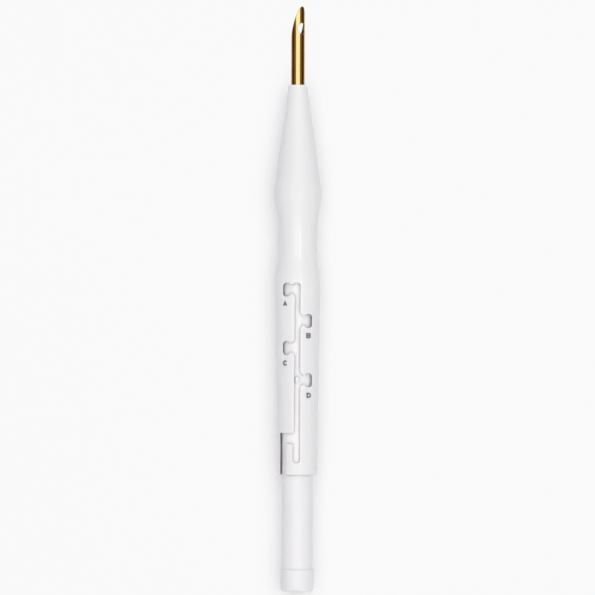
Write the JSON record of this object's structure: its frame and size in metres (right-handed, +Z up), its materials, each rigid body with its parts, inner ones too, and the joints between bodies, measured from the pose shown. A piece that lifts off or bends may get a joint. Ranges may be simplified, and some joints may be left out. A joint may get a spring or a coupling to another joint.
{
  "type": "adjustable punch needle",
  "caption": "Hand tool for punching yarn loops: a hollow bevelled needle on a tube that slides in a waisted handle with a stepped track and lettered side recesses.",
  "frame": {"origin": "on the surface that the tool lies on, below the middle of its length", "axes": "+Y along the tool towards the needle's point, +Z up out of the track, +X to the right seen from above with the point ahead"},
  "size_m": [0.0126, 0.155, 0.0127],
  "materials": {
    "handle_plastic": "semi-gloss moulded white",
    "carrier_plastic": "satin moulded white",
    "needle_metal": "polished gold-coloured plating",
    "letter_ink": "flat grey pad print"
  },
  "bodies": {
    "handle": {"handle": "handle_plastic", "setting_letter_a": "letter_ink", "setting_letter_b": "letter_ink", "setting_letter_c": "letter_ink", "setting_letter_d": "letter_ink"},
    "carrier": {"carrier_tube": "carrier_plastic", "locking_lug": "carrier_plastic", "needle_hub": "carrier_plastic", "needle": "needle_metal", "tail_collar": "carrier_plastic"}
  },
  "joints": [
    {"name": "needle_depth", "type": "slide", "parent": "handle", "child": "carrier", "axis": [0, 1, 0], "range_m": [-0.0208, 0.0239]}
  ]
}
